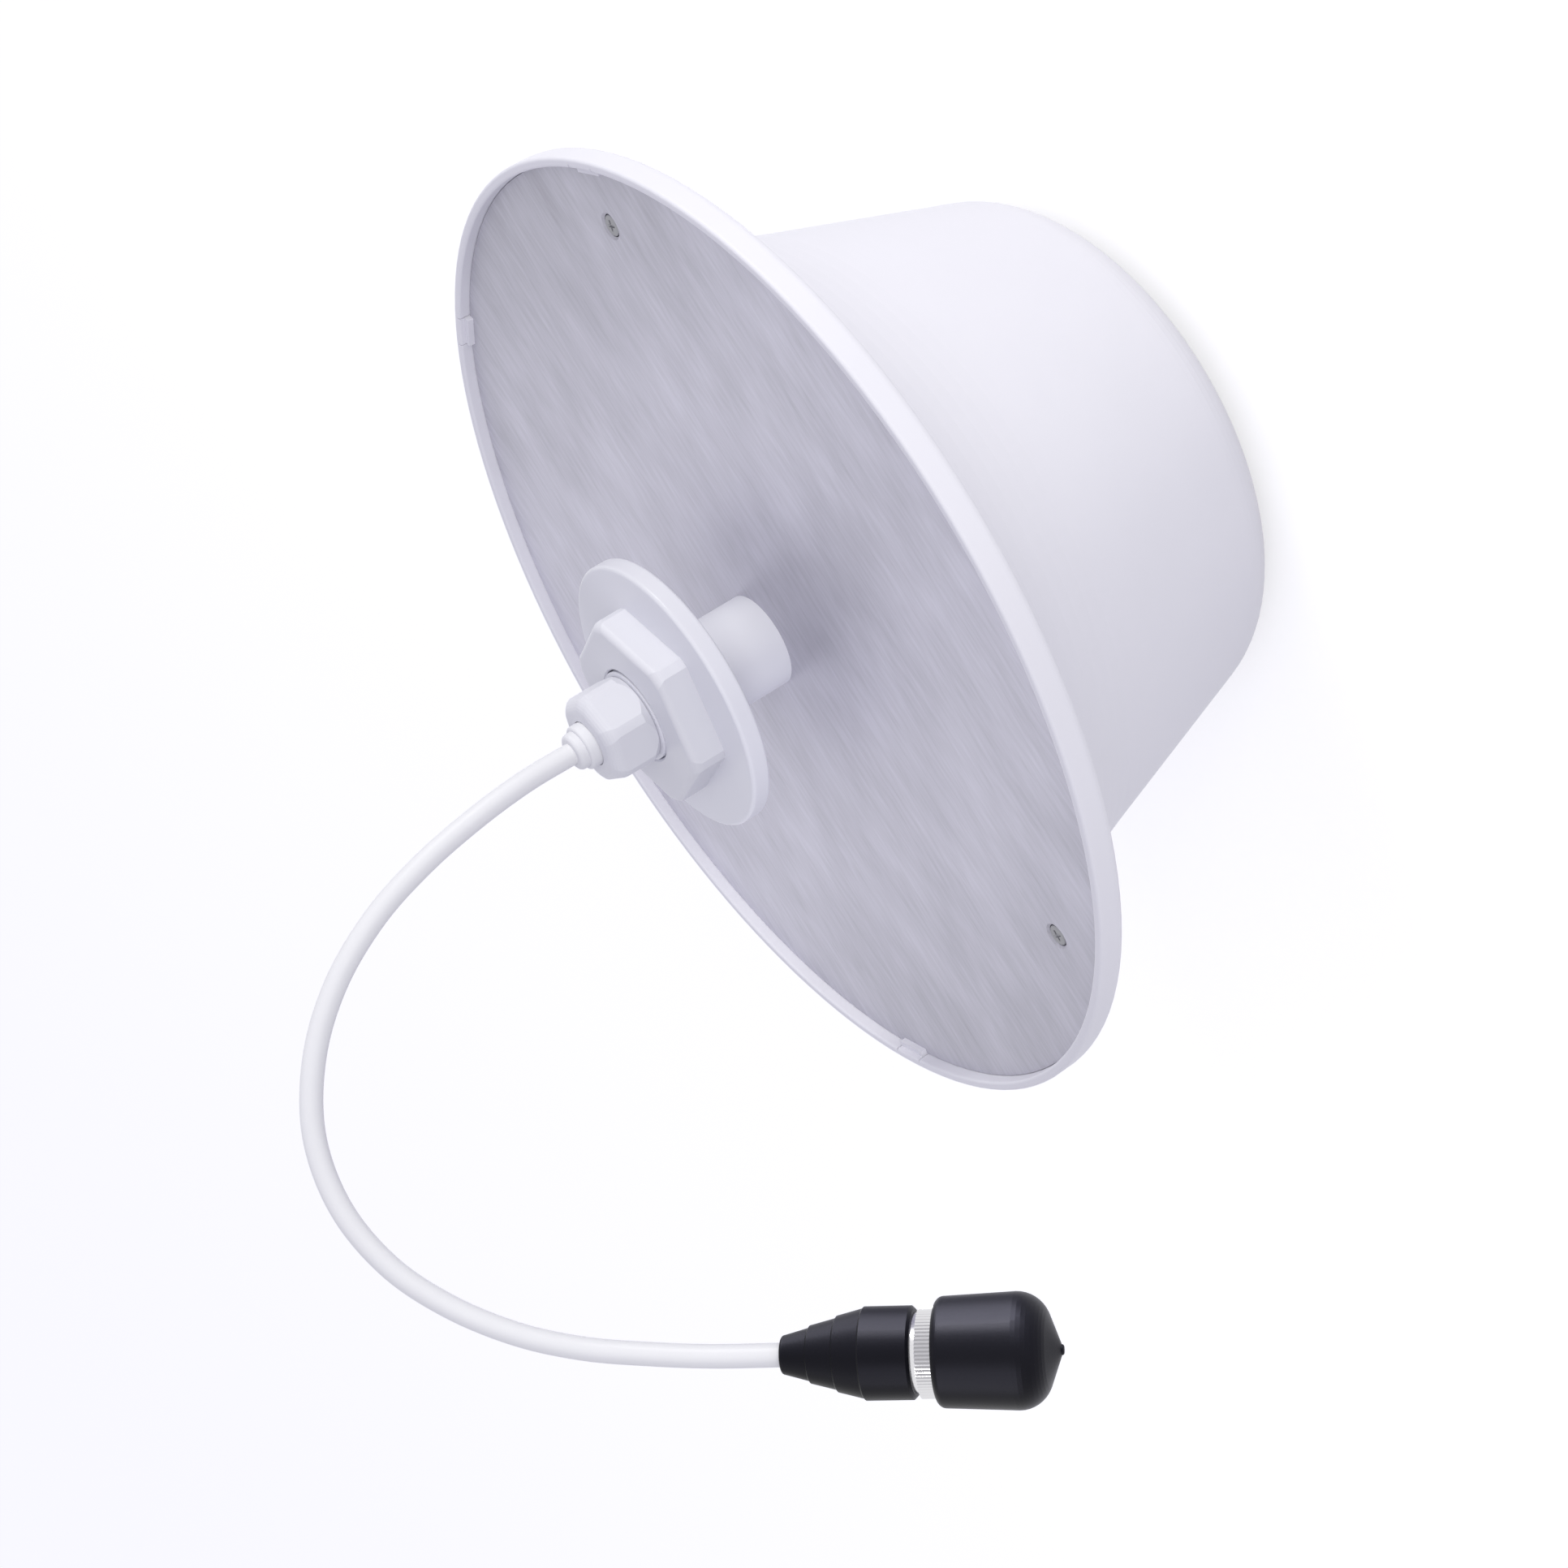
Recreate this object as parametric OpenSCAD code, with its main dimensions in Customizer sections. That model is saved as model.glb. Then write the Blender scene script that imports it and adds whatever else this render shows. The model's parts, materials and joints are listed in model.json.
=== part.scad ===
// Ceiling dome antenna: hat-shaped radome, ground plane, clamping stem and a coaxial tail.
// The rim face that meets the ceiling is z = 0, the stem points up, and the dome hangs down.

/* [Radome] */
// Outer diameter of the rim
rim_d = 186; // [176:1:210]
// Height of the rim's outer band
rim_h = 5.4; // [4.6:0.2:8]
// Width of the lip round the ground plane
lip_w = 1.8; // [1.4:0.1:2.4]
// Depth of the ground plane below the rim face
recess = 2.4; // [1.8:0.1:2.6]
// Radome wall thickness
wall = 2.2; // [1.6:0.1:3]
// Height from the rim face to the end of the dome
dome_h = 85; // [78:1:100]
// Body diameter where it meets the rim
neck_d = 163; // [158:1:165]
// Slope of the flare at the rim, from the axis
neck_angle = 46; // [42:1:50]
// Radius of the concave flare under the rim
flare_r = 70; // [60:1:80]
// Slope of the straight body, from the axis
cone_angle = 16.5; // [14:0.5:18]
// Radius of the rounded corner at the dome's end
end_r = 13; // [8:1:18]
// Radius of the shallow crown on the dome's end
crown_r = 320; // [220:10:600]
// Width of a snap tab along the rim
tab_w = 7; // [5:0.5:9]
// Reach of a snap tab over the ground plane
tab_reach = 1.2; // [0.8:0.1:1.6]

/* [Ground plane] */
// Thickness of the aluminium disc
plate_t = 1; // [0.8:0.1:1.4]
// Gap between the disc and the lip
plate_gap = 0.1; // [0.1:0.05:0.4]
// Diameter of the fixing holes
hole_d = 4.2; // [3:0.1:5]
// Diameter of the circle that the fixing holes lie on
hole_pcd = 160; // [158:1:164]

/* [Stem] */
// Diameter of the smooth shank
stem_d = 17.8; // [16:0.1:20]
// Step in from the shank to the crests of the thread
thread_step = 0.2; // [0.1:0.1:1]
// Height of the smooth shank above the rim face
shank_h = 11; // [9:0.5:12]
// Length of stem that shows past the clamp nut
stem_past = 0.2; // [0.2:0.1:3]
// Cable passage through the stem
stem_bore = 6; // [5:0.2:7]
// Diameter of the inner spigot that passes through the ground plane
spigot_d = 12; // [10:0.5:14]

/* [Clamp] */
// Outer diameter of the clamp washer
washer_d = 52; // [44:0.5:64]
// Thickness of the clamp washer
washer_t = 3.8; // [3:0.1:4.2]
// Height of the washer's underside above the rim face
washer_z = 15.4; // [14.5:0.1:15.8]
// Clamp nut width across the flats
nut_af = 32; // [27:0.5:36]
// Clamp nut height
nut_h = 6.2; // [5.5:0.1:7]
// Radial clearance of the nut's thread on the stem
nut_clear = 0.3; // [0.2:0.05:0.4]
// Radial clearance of the washer on the shank
washer_clear = 0.3; // [0.2:0.05:0.6]

/* [Gland] */
// Gland nut width across the flats
gland_af = 16; // [15.4:0.1:18]
// Gland nut height
gland_h = 9.6; // [9:0.1:12]
// Diameter over the gland's thread on the stem's end
gland_thread_d = 12; // [11.5:0.1:12.5]
// Seal collar diameter at the nut's end
collar_d = 8.4; // [8:0.1:8.6]
// Seal lip diameter round the cable
lip_d = 6.9; // [6:0.1:7]

/* [Cable] */
// Outer diameter of the cable
cable_d = 4; // [3.6:0.1:4.4]

/* [Connector] */
// Boot length
boot_l = 22.4; // [22:0.2:26]
// Boot diameter at the connector
boot_d = 15.2; // [14.9:0.1:17]
// Boot diameter at the cable
boot_small_d = 6.5; // [6:0.1:8.4]
// Diameter over the knurl
knurl_d = 14.9; // [14:0.1:15.6]
// Number of ridges on the knurl
knurl_count = 72; // [48:4:80]
// Diameter over the connector's thread
coupling_d = 15.8; // [15:0.1:16.2]
// Dust cap outer diameter at its closed end
cap_d = 19; // [18.6:0.1:22]
// Dust cap length without its tip
cap_l = 18.8; // [17.5:0.1:24]

/* [Radiator] */
// Radius of the radiator cone's mouth
cone_r = 34; // [28:1:36]
// Depth of the radiator disc below the ground plane
disc_z = 52; // [46:1:56]
// Radius of the radiator disc
disc_r = 48; // [44:1:50]
// Sheet thickness of the radiator
sheet_t = 0.8; // [0.6:0.1:1]
// Standoff width across the flats
standoff_af = 7; // [6:0.5:8]

/* [Hidden] */

// Fineness of full circles and of arcs in a section
round_fn = 96;
arc_steps = 10;

// Length by which a cut passes a face, or a joined shape runs into its neighbour
over = 1;

// Radome, from the rim inwards
rim_r = rim_d / 2;
lip_edge_r = 0.6;
lip_inner_r = 0.5;
band_edge_r = 1.8;
lip_r = rim_r - lip_w;
seat_d = recess + plate_t;
neck_r = neck_d / 2;
ledge_in = 5.1;
ledge_r = neck_r - ledge_in;
flare_c = [neck_r + flare_r * cos(neck_angle), rim_h + flare_r * sin(neck_angle)];
cone_top = flare_c - flare_r * [cos(cone_angle), sin(cone_angle)];
crown_c = dome_h - crown_r;
pilot_floor = 0.6;
hole_angles = [90, 210, 330];
hole_bevel = 0.4;
tab_angles = [-31, 26, 89, 152];
tab_t = 1.2;
tab_slot_w = 0.4;
tab_slot_in = 1;
tab_slot_out = 0.6;

// Stem and the nuts on it
plate_hole_clear = 0.1;
spigot_l = 10;
thread_d = stem_d - 2 * thread_step;
relief_depth = 0.8;
relief_l = 1.2;
washer_edge_r = 0.7;
nut_low = washer_z + washer_t;
nut_top = nut_low + nut_h;
stem_h = nut_top + stem_past;
nut_edge_r = 1.2;
nut_bore_bevel = 0.3;
nut_corner_trim = 0.5;
nut_turn = 38;

// Gland on the stem's end
gland_gap = 0.1;
gland_base_z = stem_h + gland_gap;
gland_thread_l = 6;
gland_end_z = gland_base_z + gland_h;
gland_clear = 0.15;
gland_foot_in = 0.1;
gland_bevel_h = 2.4;
gland_edge_r = 2.2;
gland_rim_w = 0.3;
gland_corner_trim = 0.45;
gland_turn = 20;
seal_d = 9;
seal_fit = 0.1;
seal_drop = 1;
seal_edge_r = 0.5;
seal_lip_edge_r = 0.8;
collar_t = 2;
lip_t = 1.7;
cable_exit_z = gland_end_z + collar_t + lip_t;
cable_strip_z = 3;
cable_start_z = stem_h + cable_strip_z;

// Feed parts, as drops below the ground plane's underside
plate_under = -seat_d;
feed_fit = 0.05;
braid_d = 3.4;
braid_drop = 14;
core_d = 2.9;
core_drop = 16;
conductor_d = 0.94;
pin_d = 5;
pin_l = 7;
pin_drop = 17;
conductor_in_pin = 4;
pin_top = plate_under - pin_drop;
conductor_end = pin_top - conductor_in_pin;
tag_t = 0.6;
tag_d = 22;
tongue_w = 5;
tongue_reach = 14;
tongue_drop = 12.5;
tongue_past = 1;
lock_nut_af = 19;
lock_nut_h = 5;

// Radiator and its posts
disc_top = plate_under - disc_z;
post_in = 6;
post_r = disc_r - post_in;
cone_tip_drop = 1.5;
cone_collar_l = 1;
stud_d = 3;
stud_l = 8;
stud_end_gap = 1;
screw_clear = 0.2;
screw_head_d = 5.6;
screw_head_h = 2;
strap_w = 8;
strap_foot_l = 6;
strap_angles = [0, 180];

// Cable route, from inside the gland's seal to inside the boot
route = [
    [0, 0, cable_start_z],
    [0, 0, cable_exit_z],
    [0, 0, 49],
    [-1, 0.5, 60],
    [-3, 1.5, 71.5],
    [-6.5, 3, 83],
    [-12.5, 5.5, 94],
    [-21, 8.5, 103],
    [-32, 11, 109.5],
    [-44.5, 12, 112],
    [-57, 11.5, 110.5],
    [-68, 9.5, 106],
    [-78, 6, 99.5],
    [-86, 2, 92],
    [-92.5, -3, 84],
    [-98, -8, 76.5],
    [-103.5, -14, 68],
    [-106.25, -17, 63.75]
];
cable_sides = 10;
route_steps = 2;
boot_at = route[len(route) - 2];
boot_way = boot_at - route[len(route) - 3];
cable_in_boot = norm(route[len(route) - 1] - boot_at);

// Connector, along its own axis from the boot's small end
boot_tiers = 3;
boot_cone_l = 13.8;
boot_edge_r = 0.6;
boot_end_bevel = 0.5;
boot_step_l = 0.3;
tier_step = 0.4;
sleeve_step = 0.3;
ferrule_l = 6.5;
ferrule_t = 1.2;
ferrule_grip = 0.45;
ferrule_at = cable_in_boot;
ferrule_r = cable_d / 2 + feed_fit + ferrule_t;
shank_at = ferrule_at + ferrule_l;
shank_r = 5.8;
mouth_l = 2.6;
mouth_wall = 1.1;
mouth_r = boot_d / 2 - mouth_wall;
flange_at = boot_l - mouth_l;
flange_l = 0.9;
knurl_at = boot_l + flange_l;
knurl_l = 3.4;
knurl_depth = 0.4;
coupling_at = knurl_at + knurl_l;
coupling_l = 9.8;
coupling_end = coupling_at + coupling_l;
coupling_relief = 1.3;
coupling_relief_l = 1;
tail_bore_r = 2.6;
socket_r = 4.1;
socket_l = 9;
insulator_in = 3;
contact_r = 1.5;
contact_in = 1;
contact_short = 1.5;
contact_bore_r = 0.85;
contact_bore_l = 5;
contact_slot_w = 0.35;
contact_slot_l = 4;

// Dust cap, pushed over the coupling thread and the end of the knurl
cap_lap = 0.8;
cap_at = coupling_at - cap_lap;
cap_end = cap_at + cap_l;
cap_clear = 0.15;
cap_taper = 0.5;
cap_edge_r = 1.4;
cap_end_r = 5.5;
cap_end_wall = 3.2;
cap_shoulder = 66;
cap_tip_l = 2;
cap_tip_r = 0.9;
cap_tip_edge = 0.4;

white = [0.93, 0.93, 0.96];
grey = [0.74, 0.74, 0.79];
black = [0.09, 0.09, 0.11];
nickel = [0.78, 0.78, 0.8];
brass = [0.8, 0.66, 0.35];

// Points of an arc about c, from angle a to angle b
function arc(c, r, a, b, n = arc_steps) =
    [for (i = [0 : n]) c + r * [cos(a + (b - a) * i / n), sin(a + (b - a) * i / n)]];

function reversed(list) = [for (i = [len(list) - 1 : -1 : 0]) list[i]];

function unit(v) = v / norm(v);

// Centre of the dome's corner arc, tangent to the straight body and to the crown, as radius and depth
function corner_centre() =
    let (t = tan(cone_angle),
        b = cone_top[0] - end_r / cos(cone_angle) + t * cone_top[1],
        q = crown_r - end_r,
        k = 1 + t * t,
        h = b * t + crown_c,
        d = (h + sqrt(h * h - k * (b * b + crown_c * crown_c - q * q))) / k)
    [b - t * d, d];

// Slope of the crown where it meets the corner arc
function crown_angle() = atan(corner_centre()[0] / (corner_centre()[1] - crown_c));

// Body section from a flare angle down to the axis, moved inwards by inset, as radius and depth
function body_curve(inset, from_angle) = concat(
    arc(flare_c, flare_r + inset, 180 + from_angle, 180 + cone_angle),
    arc(corner_centre(), end_r - inset, cone_angle, 90 - crown_angle()),
    arc([0, crown_c], crown_r - inset, 90 - crown_angle(), 90, 6));

// Flare angle at which the inner wall reaches the ledge's inner edge
function ledge_angle() = acos((flare_c[0] - ledge_r) / (flare_r + wall));

// Radome section, as radius and depth
function radome_section() = concat(
    arc([lip_r + lip_inner_r, lip_inner_r], lip_inner_r, 180, 270, 4),
    arc([rim_r - lip_edge_r, lip_edge_r], lip_edge_r, -90, 0, 4),
    arc([rim_r - band_edge_r, rim_h - band_edge_r], band_edge_r, 0, 90, 6),
    body_curve(0, neck_angle),
    reversed(body_curve(wall, ledge_angle())),
    [[ledge_r, seat_d], [lip_r, seat_d]]);

// Point of a smooth curve through b and c
function curve_point(a, b, c, d, t) =
    0.5 * (2 * b + (c - a) * t + (2 * a - 5 * b + 4 * c - d) * t * t
        + (3 * b - a - 3 * c + d) * t * t * t);

function route_at(i) = route[min(max(i, 0), len(route) - 1)];

// Points along the cable, with route_steps to each stretch of the route
function cable_line() = concat(
    [for (i = [0 : len(route) - 2]) for (k = [0 : route_steps - 1])
        curve_point(route_at(i - 1), route_at(i), route_at(i + 1), route_at(i + 2), k / route_steps)],
    [route_at(len(route) - 1)]);

// Ring of points round place i of a line
function ring(line, i, r, sides) =
    let (way = unit(line[min(i + 1, len(line) - 1)] - line[max(i - 1, 0)]),
        side = unit(cross(way, [0, 1, 0])),
        up = cross(side, way))
    [for (k = [0 : sides - 1]) line[i] + r * (cos(360 * k / sides) * side + sin(360 * k / sides) * up)];

// Round tube swept along a line
module swept_tube(line, r, sides) {
    last = len(line) - 1;
    points = [for (i = [0 : last]) each ring(line, i, r, sides)];
    walls = [for (i = [0 : last - 1]) for (k = [0 : sides - 1])
        [i * sides + k, (i + 1) * sides + k, (i + 1) * sides + (k + 1) % sides, i * sides + (k + 1) % sides]];
    first_end = [for (k = [0 : sides - 1]) k];
    last_end = [for (k = [sides - 1 : -1 : 0]) last * sides + k];
    polyhedron(points, concat(walls, [first_end, last_end]));
}

// Revolves a section given as radius and depth below the rim face
module revolve_down(section) {
    rotate_extrude($fn = round_fn)
        mirror([0, 1])
            polygon(section);
}

// Revolves a section given as radius and height
module revolve_up(section) {
    rotate_extrude($fn = round_fn)
        polygon(section);
}

// Cylinder between two heights
module rod(d, low, high) {
    translate([0, 0, low])
        cylinder(d = d, h = high - low, $fn = round_fn);
}

// Hexagonal bar between two heights, by width across the flats
module hex_bar(af, low, high) {
    translate([0, 0, low])
        cylinder(d = af / cos(30), h = high - low, $fn = 6);
}

// Bar between two flats, with its upper long edges rounded
module rounded_slab(af, low, high, edge_r) {
    inner = af / 2 - edge_r;
    rotate([90, 0, 0])
        linear_extrude(height = 2 * af, center = true)
            polygon(concat(
                [[-af / 2, low], [af / 2, low]],
                arc([inner, high - edge_r], edge_r, 0, 90, 6),
                arc([-inner, high - edge_r], edge_r, 90, 180, 6)));
}

// Hexagon nut blank with rounded upper edges and its corners turned down and rounded by trim
module nut_blank(af, low, high, edge_r, trim) {
    corner_r = af / 2 / cos(30) - trim;
    turn_r = edge_r + trim;
    intersection() {
        rotate([0, 0, 30]) rounded_slab(af, low, high, edge_r);
        rotate([0, 0, 90]) rounded_slab(af, low, high, edge_r);
        rotate([0, 0, 150]) rounded_slab(af, low, high, edge_r);
        revolve_up(concat(
            [[0, low], [corner_r, low]],
            arc([corner_r - turn_r, high - turn_r], turn_r, 0, 90, 7),
            [[0, high]]));
    }
}

// Copies of a shape at given angles round the axis
module around(angles, r) {
    for (a = angles)
        rotate([0, 0, a])
            translate([r, 0, 0])
                children();
}

// Places a shape at the boot's small end, with its height along the connector
module on_connector() {
    way = unit(boot_way);
    translate(boot_at)
        rotate([0, acos(way[2]), atan2(way[1], way[0])])
            children();
}

module snap_tab() {
    translate([lip_r - tab_reach, -tab_w / 2, -recess])
        cube([tab_reach + lip_w / 2, tab_w, tab_t]);
}

// Slots that free a snap tab from the lip on both sides
module snap_tab_slots() {
    inner_r = lip_r - tab_reach - tab_slot_in;
    for (y = [-tab_w / 2 - tab_slot_w, tab_w / 2])
        translate([inner_r, y, -recess])
            cube([lip_r + tab_slot_out - inner_r, tab_slot_w, recess + over]);
}

module radome() {
    color(white)
        difference() {
            union() {
                revolve_down(radome_section());
                around(tab_angles, 0) snap_tab();
            }
            around(tab_angles, 0) snap_tab_slots();
            around(hole_angles, hole_pcd / 2) rod(hole_d, pilot_floor - rim_h, 0);
        }
}

// Hole through the ground plane, with a bevelled upper edge
module fixing_hole() {
    r = hole_d / 2;
    revolve_up([[0, plate_under - over], [r, plate_under - over], [r, -recess - hole_bevel],
        [r + hole_bevel + over, over - recess], [0, over - recess]]);
}

module ground_plane() {
    color(grey)
        difference() {
            rod(2 * (lip_r - plate_gap), plate_under, -recess);
            rod(spigot_d + 2 * plate_hole_clear, plate_under - over, over - recess);
            around(hole_angles, hole_pcd / 2) fixing_hole();
        }
}

module stem() {
    thread_z = shank_h + relief_l;
    color(white)
        difference() {
            union() {
                rod(stem_d, -recess, shank_h);
                rod(thread_d - 2 * relief_depth, shank_h - over, thread_z + over);
                rod(thread_d, thread_z, stem_h);
                rod(gland_thread_d, stem_h - over, stem_h + gland_thread_l);
                rod(spigot_d, plate_under - spigot_l, over - recess);
            }
            rod(stem_bore, plate_under - spigot_l - over, stem_h + over);
            rod(seal_d, stem_h, stem_h + gland_thread_l + over);
        }
}

module clamp_washer() {
    r = washer_d / 2;
    bore_r = stem_d / 2 + washer_clear;
    color(white)
        revolve_up(concat(
            [[bore_r, washer_z]],
            arc([r - washer_edge_r, washer_z + washer_edge_r], washer_edge_r, -90, 0, 4),
            arc([r - washer_edge_r, nut_low - washer_edge_r], washer_edge_r, 0, 90, 4),
            [[bore_r, nut_low]]));
}

// Hexagon nut whose bore has a bevelled upper edge
module clamp_nut() {
    r = thread_d / 2 + nut_clear;
    color(white)
        difference() {
            rotate([0, 0, nut_turn])
                nut_blank(nut_af, nut_low, nut_top, nut_edge_r, nut_corner_trim);
            revolve_up([[0, nut_low - over], [r, nut_low - over], [r, nut_top - nut_bore_bevel],
                [r + nut_bore_bevel + over, nut_top + over], [0, nut_top + over]]);
        }
}

// Hexagon nut with a round foot; its rounded end leaves a rim round the collar's hole
module gland_nut() {
    foot_r = gland_af / 2 - gland_foot_in;
    clear_r = gland_af / 2 / cos(30);
    collar_hole_r = collar_d / 2 + gland_clear;
    edge_r = min(gland_edge_r, gland_af / 2 - collar_hole_r - gland_rim_w);
    color(white)
        difference() {
            intersection() {
                rotate([0, 0, gland_turn])
                    nut_blank(gland_af, gland_base_z, gland_end_z, edge_r, gland_corner_trim);
                revolve_up([[0, gland_base_z], [foot_r, gland_base_z], [clear_r, gland_base_z + gland_bevel_h],
                    [clear_r, gland_end_z + over], [0, gland_end_z + over]]);
            }
            rod(gland_thread_d + 2 * gland_clear, gland_base_z - over, stem_h + gland_thread_l + gland_clear);
            rod(2 * collar_hole_r, gland_base_z, gland_end_z + over);
        }
}

// Rubber seal: a foot in the stem's end, then a collar and a lip that show above the nut
module gland_seal() {
    foot_z = stem_h + seal_drop;
    foot_top = stem_h + gland_thread_l;
    foot_r = seal_d / 2 - seal_fit;
    collar_top = gland_end_z + collar_t;
    color(white)
        revolve_up(concat(
            [[cable_d / 2, foot_z], [foot_r, foot_z], [foot_r, foot_top], [collar_d / 2, foot_top]],
            arc([collar_d / 2 - seal_edge_r, collar_top - seal_edge_r], seal_edge_r, 0, 90, 4),
            [[lip_d / 2, collar_top]],
            arc([lip_d / 2 - seal_lip_edge_r, cable_exit_z - seal_lip_edge_r], seal_lip_edge_r, 0, 90, 4),
            [[cable_d / 2, cable_exit_z]]));
}

module cable() {
    color(white)
        swept_tube(cable_line(), cable_d / 2, cable_sides);
}

module feed_braid() {
    end = plate_under - braid_drop;
    color(nickel)
        difference() {
            rod(braid_d, end, cable_start_z);
            rod(core_d + 2 * feed_fit, end - over, cable_start_z + over);
        }
}

module feed_dielectric() {
    end = plate_under - core_drop;
    color(white)
        difference() {
            rod(core_d, end, cable_start_z);
            rod(conductor_d + 2 * feed_fit, end - over, cable_start_z + over);
        }
}

module feed_conductor() {
    color(brass)
        rod(conductor_d, conductor_end, cable_start_z);
}

// Ring tag under the ground plane, with a tongue that folds down and back to the braid
module ground_tag() {
    tongue_z = plate_under - tongue_drop;
    braid_r = braid_d / 2 + feed_fit;
    color(brass)
        difference() {
            union() {
                rod(tag_d, plate_under - tag_t, plate_under);
                translate([0, -tongue_w / 2, plate_under - tag_t])
                    cube([tongue_reach, tongue_w, tag_t]);
                translate([tongue_reach - tag_t, -tongue_w / 2, tongue_z])
                    cube([tag_t, tongue_w, plate_under - tongue_z]);
                translate([-braid_r - tongue_past, -tongue_w / 2, tongue_z])
                    cube([tongue_reach + braid_r + tongue_past, tongue_w, tag_t]);
            }
            rod(spigot_d + 2 * plate_hole_clear, plate_under - tag_t - over, plate_under + over);
            rod(2 * braid_r, tongue_z - over, tongue_z + tag_t + over);
        }
}

module lock_nut() {
    top = plate_under - tag_t;
    color(nickel)
        difference() {
            hex_bar(lock_nut_af, top - lock_nut_h, top);
            rod(spigot_d + 2 * plate_hole_clear, top - lock_nut_h - over, top + over);
        }
}

// Pin that carries the radiator cone and takes the cable's centre conductor
module feed_pin() {
    color(brass)
        difference() {
            rod(pin_d, pin_top - pin_l, pin_top);
            rod(conductor_d + 2 * feed_fit, conductor_end, pin_top + over);
        }
}

// Sheet cone, from a short collar on the feed pin to the radiator disc
module radiator_cone() {
    tip_r = pin_d / 2 + feed_fit;
    tip_z = pin_top - cone_tip_drop;
    color(nickel)
        revolve_up([[tip_r, tip_z], [tip_r + sheet_t, tip_z], [cone_r, disc_top], [cone_r - sheet_t, disc_top],
            [tip_r, tip_z - sheet_t - cone_collar_l]]);
}

module radiator_disc() {
    under = disc_top - sheet_t;
    color(nickel)
        difference() {
            rod(2 * disc_r, under, disc_top);
            around(hole_angles, post_r) rod(stud_d + 2 * screw_clear, under - over, disc_top + over);
        }
}

module weld_studs() {
    color(nickel)
        around(hole_angles, post_r) rod(stud_d, plate_under - stud_l, plate_under);
}

module standoffs() {
    bore_l = stud_l + stud_end_gap;
    bore_d = stud_d + 2 * feed_fit;
    color(white)
        around(hole_angles, post_r)
            difference() {
                hex_bar(standoff_af, disc_top, plate_under);
                rod(bore_d, plate_under - bore_l, plate_under + over);
                rod(bore_d, disc_top - over, disc_top + bore_l);
            }
}

module standoff_screws() {
    under = disc_top - sheet_t;
    color(nickel)
        around(hole_angles, post_r) {
            rod(stud_d, under - screw_head_h / 2, disc_top + stud_l);
            rod(screw_head_d, under - screw_head_h, under);
        }
}

// Strips that tie the radiator disc to the ground plane, each with a foot at both ends
module shorting_straps() {
    color(nickel)
        around(strap_angles, post_r)
            rotate([90, 0, 0])
                translate([0, 0, -strap_w / 2])
                    linear_extrude(height = strap_w)
                        polygon([[-strap_foot_l, plate_under], [sheet_t, plate_under],
                            [sheet_t, disc_top + sheet_t], [strap_foot_l, disc_top + sheet_t],
                            [strap_foot_l, disc_top], [0, disc_top], [0, plate_under - sheet_t],
                            [-strap_foot_l, plate_under - sheet_t]]);
}

// Boot outline: conical tiers, each a little wider than the last one's end, then a sleeve
function boot_outline() =
    let (tier_l = boot_cone_l / boot_tiers,
        start_r = boot_small_d / 2,
        cone_end_r = boot_d / 2 - sleeve_step,
        rise = (cone_end_r - start_r - (boot_tiers - 1) * tier_step) / boot_tiers)
    concat(
        arc([start_r - boot_edge_r, boot_edge_r], boot_edge_r, -90, 0, 4),
        [for (k = [0 : boot_tiers - 1]) each [
            if (k > 0) [start_r + k * (rise + tier_step), k * tier_l + boot_step_l],
            [start_r + k * (rise + tier_step) + rise, (k + 1) * tier_l]]],
        [[boot_d / 2, boot_cone_l + boot_step_l], [boot_d / 2, boot_l - boot_end_bevel],
            [boot_d / 2 - boot_end_bevel, boot_l]]);

module connector_boot() {
    cable_r = cable_d / 2;
    color(black)
        on_connector()
            revolve_up(concat(
                [[cable_r, 0]],
                boot_outline(),
                [[mouth_r, boot_l], [mouth_r, flange_at],
                    [shank_r + feed_fit, flange_at], [shank_r + feed_fit, shank_at],
                    [ferrule_r + feed_fit, shank_at], [ferrule_r + feed_fit, ferrule_at],
                    [cable_r, ferrule_at]]));
}

module crimp_ferrule() {
    color(nickel)
        on_connector()
            difference() {
                rod(2 * ferrule_r, ferrule_at, shank_at);
                rod(cable_d - 2 * ferrule_grip, ferrule_at - over, shank_at + over);
            }
}

// Straight knurl: a toothed ring
module knurl_ring(low, high) {
    translate([0, 0, low])
        linear_extrude(height = high - low)
            polygon([for (i = [0 : 2 * knurl_count - 1])
                (knurl_d / 2 - (i % 2) * knurl_depth)
                    * [cos(180 * i / knurl_count), sin(180 * i / knurl_count)]]);
}

module connector_body() {
    thread_at = coupling_at + coupling_relief_l;
    color(nickel)
        on_connector()
            difference() {
                union() {
                    rod(2 * shank_r, shank_at, flange_at + over);
                    rod(2 * (mouth_r - feed_fit), flange_at, knurl_at + over);
                    knurl_ring(knurl_at, coupling_at);
                    rod(coupling_d - 2 * coupling_relief, coupling_at - over, thread_at + over);
                    rod(coupling_d, thread_at, coupling_end);
                }
                rod(2 * socket_r, coupling_end - socket_l, coupling_end + over);
                rod(2 * tail_bore_r, shank_at - over, coupling_end - socket_l + over);
            }
}

module connector_insulator() {
    low = shank_at + insulator_in;
    high = coupling_end - socket_l;
    color(white)
        on_connector()
            difference() {
                rod(2 * (tail_bore_r - feed_fit), low, high);
                rod(2 * (contact_r + feed_fit), low - over, high + over);
            }
}

// Socket contact with a slotted end
module connector_contact() {
    low = shank_at + contact_in;
    high = coupling_end - contact_short;
    color(brass)
        on_connector()
            difference() {
                rod(2 * contact_r, low, high);
                rod(2 * contact_bore_r, high - contact_bore_l, high + over);
                for (a = [0, 90])
                    rotate([0, 0, a])
                        translate([-contact_r - over, -contact_slot_w / 2, high - contact_slot_l])
                            cube([2 * (contact_r + over), contact_slot_w, contact_slot_l + over]);
            }
}

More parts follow.
